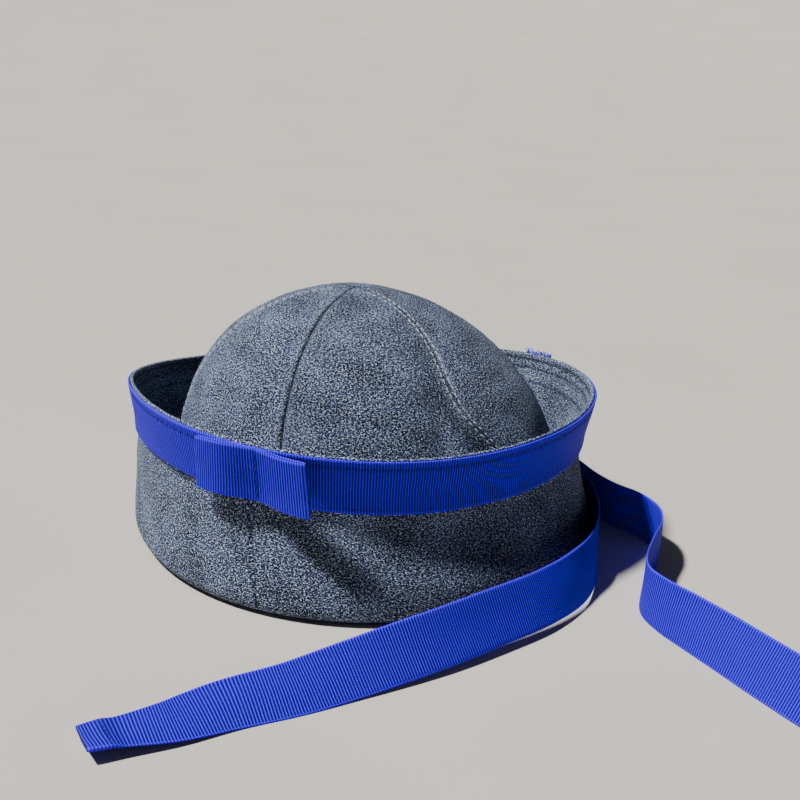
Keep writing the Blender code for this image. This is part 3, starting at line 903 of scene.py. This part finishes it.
class MakeBrim(bpy.types.Operator):
    """Make the turned-up brim in two halves, with its quilting rows and rim edge"""

    bl_idname = "cap.make_brim"
    bl_label = "Brim"

    def execute(self, context):
        sizes = context.scene.cap_sizes
        beside = np.array(QUILT_ROWS)[:, None] + np.array((-0.0007, -0.0003, 0.0, 0.0003, 0.0007))
        quilted = 1 - beside.ravel() / sizes.brim_height
        wall = np.sort(np.concatenate([np.linspace(0.0, 1.0, 50) ** 0.9, quilted]))
        bend, under, foot = np.linspace(1, 2, 7), np.linspace(2, 3, 8), np.linspace(3, 4, 9)
        rows = np.concatenate([[0.0, 0.5], bend, under[1:], foot[1:], 4 + wall[1:]])
        rows[-1] = 5 - 0.015
        for name, start, node in (
            ("brim_right_cloth", BRIM_SEAM_ANGLE, "brim_right"),
            ("brim_left_cloth", BRIM_SEAM_ANGLE + pi, "brim_left"),
        ):
            self.half(name, start, node, rows, sizes)
        self.quilting(sizes)
        return {"FINISHED"}

    def half(self, name, start, node, rows, sizes):
        margin = GAP / 2 / sizes.rim_radius
        turn = np.linspace(0.0, 1.0, 190)
        turn = turn - 0.9 * np.sin(2 * pi * turn) / (2 * pi)
        angles = start + margin + (pi - 2 * margin) * turn
        grid, v = np.meshgrid(angles, rows)
        middle = brim_middle(grid, v, sizes)
        soft = soft_noise(middle, 0.022, 5.0) + 0.5 * soft_noise(middle, 0.009, 1.0)
        share = np.clip(v - 4, 0, 1)
        side = np.minimum(grid - start, start + pi - grid) * sizes.rim_radius
        from_rim = (1 - share) * sizes.brim_height
        give = 0.0006 * soft * np.sin(pi * np.clip(share * 1.1, 0, 1)) * (1 - bump_at(side, 0.004))
        give = give - 0.0005 * bump_at(side, 0.0006) * (share > 0)
        give = give + 0.0003 * bump_at(side - 0.0022, 0.0015) * (share > 0)
        middle = middle + radial(grid) * give[..., None]
        lengths = along_path(middle[:, 0])
        flat = np.stack([grid * sizes.rim_radius, lengths[:, None] + 0 * grid], -1)
        quilt = sum(bump_at(from_rim - row, QUILT_WIDTH) for row in QUILT_ROWS)
        # Painted shade along the brim's seam and in its quilting grooves
        crease = np.clip(0.8 * bump_at(side, 0.0008) + quilt * (0.75 + 0.25 * soft), 0, 1)
        wear = 0.40 * bump_at(from_rim, 0.0012) * (share > 0.5)
        marks = {"crease": crease, "wear": wear}
        half, cloth = BRIM_WALL / 2, finish_named("cloth")
        thinner = RIM_THINNING * bump_at(from_rim, RIM_THINNING_LENGTH)
        inside = half - thinner - QUILT_DEPTH * quilt * (share > 0)
        piece = make_shell(name, middle, flat, half, inside[..., None], cloth, marks)
        ride_as(piece, "flecked_cloth", node)

    def quilting(self, sizes):
        angles = np.linspace(0.0, 2 * pi, 721)
        paths = []
        for row in QUILT_ROWS:
            share = 1 - row / (rim_height(angles, sizes) - FOOT_BEND - BRIM_WALL / 2)
            inner = BRIM_WALL - RIM_THINNING * bump_at(row, RIM_THINNING_LENGTH) - 0.00035
            path = brim_wall(angles, share, sizes, -inner)
            paths.append((path, -radial(angles)))
        sew("brim", "brim_quilting", paths, sizes)


class MakeBand(bpy.types.Operator):
    """Make the ribbon band, its stitching and the frayed threads of its joint"""

    bl_idname = "cap.make_band"
    bl_label = "Ribbon band"

    def execute(self, context):
        sizes = context.scene.cap_sizes
        angles = np.linspace(0.0, 2 * pi, 541)
        shares = np.linspace(0.0, 1.0, 21)
        grid, share = np.meshgrid(angles[:-1], shares)
        middle = band_middle(grid, share, sizes)
        below = (1 - share) * sizes.ribbon_width
        soft = soft_noise(middle, 0.016, 2.0)
        from_pleat = below - BAND_PLEAT_PLACE
        give = 0.00018 * soft - 0.00038 * bump_at(from_pleat, 0.0008)
        give = give + 0.00014 * np.sin(grid * 150) * bump_at(from_pleat, 0.0022)
        middle = middle + radial(grid) * give[..., None]
        around = along_path(band_middle(angles, 0.5, sizes))
        flat = np.stack(np.meshgrid(around, shares * sizes.ribbon_width), -1)
        # Painted shade along the pucker line a little below the band's top edge
        crease = 0.9 * bump_at(below - 0.0033, 0.0005) * (0.6 + 0.4 * soft)
        marks = {"crease": np.clip(crease, 0, 1)}
        half = RIBBON_WALL * BAND_LAYERS / 2
        ribbon, outside = finish_named("ribbon"), half - 0.0002
        piece = make_shell("band", middle, flat, outside, half, ribbon, marks, ring=True)
        ride_as(piece, "blue_ribbon", "ribbon_band")
        paths = []
        for level in (0.075, 0.865):
            line = band_middle(angles, np.full_like(angles, level), sizes)
            paths.append((line + radial(angles) * (outside - 0.0001), radial(angles)))
        sew("band", "band_stitching", paths, sizes)
        self.fray(sizes)
        return {"FINISHED"}

    def fray(self, sizes):
        """Loose ends of the ribbon's threads, standing over the rim."""
        random = np.random.default_rng(7)
        points, faces = [], []
        for _ in range(FRAY_THREADS):
            angle = FRAY_ANGLE + radians(random.uniform(-FRAY_SPREAD, FRAY_SPREAD))
            root = band_middle(np.array(angle), np.array(1.04), sizes)
            outward, upward = random.uniform(-0.9, 0.2), random.uniform(0.5, 1.2)
            way = unit(radial(angle) * outward + lift(upward))
            side = np.array((-sin(angle), cos(angle), 0.0)) * random.uniform(-1.2, 1.2)
            length = random.uniform(0.0022, 0.0052)
            curl = random.uniform(-2.0, 2.0)
            spine = []
            for t in np.linspace(0, 1, 7):
                bend = side * t + np.cross(side, way) * 0.4 * sin(curl * t * 3)
                spine.append(root + (way * t + bend * t * 0.6 - lift(0.45 * t * t)) * length)
            faces += tube_faces(len(points), len(spine), FRAY_SIDES)
            for number, spot in enumerate(spine):
                size = FRAY_SIZE * (1 - 0.10 * number)
                for s in range(FRAY_SIDES):
                    turn = 2 * pi * s / FRAY_SIDES
                    spoke = np.array((cos(turn), sin(turn), 0.3 * cos(turn)))
                    points.append(spot + spoke * size)
        fray = finish_named("fray_thread")
        piece = make_piece("frayed_threads", np.array(points), faces, None, {}, fray)
        ride_as(piece, "blue_ribbon")


class MakeBow(bpy.types.Operator):
    """Make the flat bow tab, a loop of ribbon sewn down at its middle"""

    bl_idname = "cap.make_bow"
    bl_label = "Bow tab"

    def execute(self, context):
        sizes = context.scene.cap_sizes
        width = sizes.ribbon_width
        centre = BRIM_SEAM_ANGLE + BOW_SET_RIGHT / sizes.rim_radius
        nearest = RIBBON_WALL * BAND_LAYERS / 2 + GAP + RIBBON_WALL + GAP / 2
        turns = 2 * pi * (np.arange(160) + 0.5) / 160
        rises = np.linspace(0.0, 1.0, 21)
        grid, rise = np.meshgrid(turns, rises)
        share = np.cos(grid)
        parts = smooth_row(BOW_ROWS, share)
        opening = parts[..., 1]
        half_gap = RIBBON_WALL / 2 + GAP / 2 + width * opening / 2
        clear = nearest + width * (parts[..., 0] + opening / 2 + parts[..., 3] * (1 - rise))
        drop, upright = parts[..., 2], np.sqrt(1 - parts[..., 3] ** 2)
        fullness = np.minimum(1.0, 1.6 * np.abs(np.sin(grid)) ** 0.5)
        bulge = half_gap * fullness * -np.sign(np.sin(grid))
        pinch = 0.00015 * np.cos(rise * 30) * bump_at(share, 0.09)
        length = np.where(share > 0, sizes.bow_right, sizes.bow_left)
        length = length * (1 + BOW_SPREAD * (1 - rise))
        angle = centre + share * length / sizes.rim_radius
        seat = band_middle(angle, 1 - drop - (1 - rise) * upright, sizes)
        middle = seat + radial(angle) * (clear + bulge + pinch)[..., None]
        lengths = along_path(np.concatenate([middle[10], middle[10, :1]]))
        flat = np.stack(np.meshgrid(lengths, rises * width), -1)
        ribbon, half = finish_named("ribbon"), RIBBON_SHOWN / 2
        # Painted shade at the pinched middle of the loop
        marks = {"crease": 0.9 * bump_at(share, 0.022)}
        piece = make_shell("bow_loop", middle, flat, half, half, ribbon, marks, ring=True)
        ride_as(piece, "blue_ribbon", "bow_tab")
        front = np.linspace(0.06, 0.94, 40)
        seat = band_middle(np.full_like(front, centre), front - BOW_ROWS[2][3], sizes)
        line = seat + radial(centre) * (nearest + RIBBON_WALL * 0.95 + GAP / 2)
        paths = [(line, np.broadcast_to(radial(centre), line.shape))]
        sew("bow", "bow_stitching", paths, sizes)
        return {"FINISHED"}


class MakeTails(bpy.types.Operator):
    """Make the two ribbon tails with their sewn hems"""

    bl_idname = "cap.make_tails"
    bl_label = "Ribbon tails"

    def execute(self, context):
        sizes = context.scene.cap_sizes
        self.tail("tail_left", LEFT_TAIL_ROWS, "ribbon_tail_left", sizes)
        self.tail("tail_right", RIGHT_TAIL_ROWS, "ribbon_tail_right", sizes)
        return {"FINISHED"}

    def tail(self, name, rows, node, sizes):
        edge, run, up_width = tail_frame(rows, sizes)
        total = along_path(edge)[-1]
        places = np.linspace(0.0, total, int(total / TAIL_STEP))
        spots = read_path(edge, places)
        runs, ups = unit(read_path(edge, places, run)), unit(read_path(edge, places, up_width))
        upper = 1.0 if rows[-1][3] > 0 else -1.0
        normal = unit(np.cross(ups, runs)) * upper
        from_hem = places - (total - HEM_LENGTH)
        ramp = np.clip(from_hem / HEM_RAMP + 0.5, 0, 1)
        layers = 1 + (HEM_LAYERS - 1) * ramp * ramp * (3 - 2 * ramp)
        shares = np.linspace(0.0, 1.0, 17)
        thick = RIBBON_SHOWN * layers
        centre = spots + normal * ((thick - RIBBON_WALL) / 2)[:, None]
        centre = centre + ups * (thick * EDGE_BULGE / 2)[:, None]
        breadth = sizes.ribbon_width - RIBBON_SHOWN * EDGE_BULGE
        middle = centre[None] + ups[None] * (shares * breadth)[:, None, None]
        cup = 0.00025 * np.cos(2 * pi * shares)[:, None] * np.sin(places * 40)[None]
        cup = cup * np.minimum(1, places / 0.02)[None, :]
        middle = middle + normal[None] * cup[..., None]
        middle[..., 2] = np.maximum(middle[..., 2], (thick / 2 * np.abs(normal[:, 2]))[None])
        flat = np.stack(np.meshgrid(places, shares * sizes.ribbon_width), -1)
        at = total - HEM_LENGTH * HEM_STITCH_PLACE
        # Painted shade in the valley where the hem turns over, and along the hem's stitch row
        crease = 0.5 * bump_at(from_hem, HEM_RAMP / 2) + 0.2 * bump_at(places - at, 0.0005)
        marks = {"crease": np.broadcast_to(crease, flat.shape[:2])}
        piece = make_strip(name, middle, thick, flat, finish_named("ribbon"), marks)
        ride_as(piece, "blue_ribbon", node)
        across, out = unit(read_path(edge, at, up_width)), unit(read_path(spots, at, normal))
        along = (np.linspace(0.04, 0.96, 30) * sizes.ribbon_width)[:, None]
        above = RIBBON_SHOWN * HEM_LAYERS - RIBBON_WALL / 2 + 0.0001
        path = read_path(edge, at) + across * along + out * above
        paths = [(path, np.broadcast_to(out, path.shape))]
        hem_row = sew("hem", name + "_hem_stitching", paths, sizes)


class MakeStage(bpy.types.Operator):
    """Make the plain floor, the studio lights and the camera"""

    bl_idname = "cap.make_stage"
    bl_label = "Stage"

    def execute(self, context):
        self.floor(context)
        self.light(context, "soft_sun", "SUN", SUN_POWER, SUN_COLOUR, SUN_WAY, angle=radians(6))
        aim = Vector(FILL_AIM) - Vector(FILL_PLACE)
        shape = {"shape": "DISK", "size": FILL_SIZE}
        fill = self.light(context, "fill", "AREA", FILL_POWER, FILL_COLOUR, aim, **shape)
        fill.location = FILL_PLACE
        world = context.scene.world or bpy.data.worlds.new("room")
        context.scene.world = world
        world.use_nodes = True
        room = world.node_tree.nodes["Background"].inputs
        room["Color"].default_value = ROOM_COLOUR
        room["Strength"].default_value = ROOM_STRENGTH
        self.camera(context)
        return {"FINISHED"}

    def floor(self, context):
        turns = [2 * pi * s / FLOOR_SIDES for s in range(FLOOR_SIDES)]
        points = [(r * cos(turn), r * sin(turn), z) for r, z in FLOOR_PROFILE for turn in turns]
        points.append((0.0, 0.0, 0.0))
        faces = [(s, (s + 1) % FLOOR_SIDES, len(points) - 1) for s in range(FLOOR_SIDES)]
        for k in range(len(FLOOR_PROFILE) - 1):
            for s in range(FLOOR_SIDES):
                a, b = k * FLOOR_SIDES + s, k * FLOOR_SIDES + (s + 1) % FLOOR_SIDES
                faces.append((a, a + FLOOR_SIDES, b + FLOOR_SIDES, b))
        mesh = bpy.data.meshes.new("floor")
        mesh.from_pydata(points, [], faces)
        mesh.shade_smooth()
        f = Finish("floor_paint")
        cloud = f.mottle(f.in_object(), 5.0, 3.0)
        pale = tuple(context.scene.cap_colours.floor)
        darker = tuple(part * 0.95 for part in pale)
        mesh.materials.append(f.surface(f.mix(cloud.between(0.3, 0.7), darker, pale), 0.75))
        floor = bpy.data.objects.new("floor", mesh)
        context.scene.collection.objects.link(floor)

    def light(self, context, name, kind, power, colour, way, **settings):
        """A lamp that shines along a direction."""
        lamp = bpy.data.lights.new(name, kind)
        lamp.energy, lamp.color = power, colour
        for key, value in settings.items():
            setattr(lamp, key, value)
        holder = bpy.data.objects.new(name, lamp)
        holder.rotation_euler = Vector(way).to_track_quat("-Z", "Y").to_euler()
        context.scene.collection.objects.link(holder)
        return holder

    def camera(self, context):
        lens = bpy.data.cameras.new("camera")
        lens.sensor_width, lens.lens = 36.0, 54.0
        lens.clip_start, lens.clip_end = 0.01, 20.0
        camera = bpy.data.objects.new("camera", lens)
        axes = Vector(CAMERA_RIGHT), Vector(CAMERA_UP), -Vector(CAMERA_AHEAD)
        turn = Matrix(axes).transposed().to_4x4()
        camera.matrix_world = Matrix.Translation(CAMERA_PLACE) @ turn
        context.scene.collection.objects.link(camera)
        context.scene.camera = camera


class CapPanel(bpy.types.Panel):
    """Sizes, colours and makers of the cap"""

    bl_idname = "VIEW3D_PT_sailor_cap"
    bl_label = "Sailor cap"
    bl_space_type = "VIEW_3D"
    bl_region_type = "UI"
    bl_category = "Sailor cap"

    def draw(self, context):
        for group in (context.scene.cap_sizes, context.scene.cap_colours):
            for name in group.__annotations__:
                self.layout.prop(group, name)
        for maker in MAKERS:
            self.layout.operator(maker.bl_idname)


MAKERS = (MakeCrown, MakeBrim, MakeBand, MakeBow, MakeTails, MakeStage)
CLASSES = (CapSizes, CapColours, *MAKERS, CapPanel)


def register():
    for each in CLASSES:
        bpy.utils.register_class(each)
    bpy.types.Scene.cap_sizes = bpy.props.PointerProperty(type=CapSizes)
    bpy.types.Scene.cap_colours = bpy.props.PointerProperty(type=CapColours)


def unregister():
    del bpy.types.Scene.cap_colours
    del bpy.types.Scene.cap_sizes
    for each in reversed(CLASSES):
        bpy.utils.unregister_class(each)


def main():
    register()
    for maker in MAKERS:
        group, name = maker.bl_idname.split(".")
        if getattr(getattr(bpy.ops, group), name)() != {"FINISHED"}:
            raise RuntimeError(f"{maker.bl_label} wasn't finished")


if __name__ == "__main__":
    main()
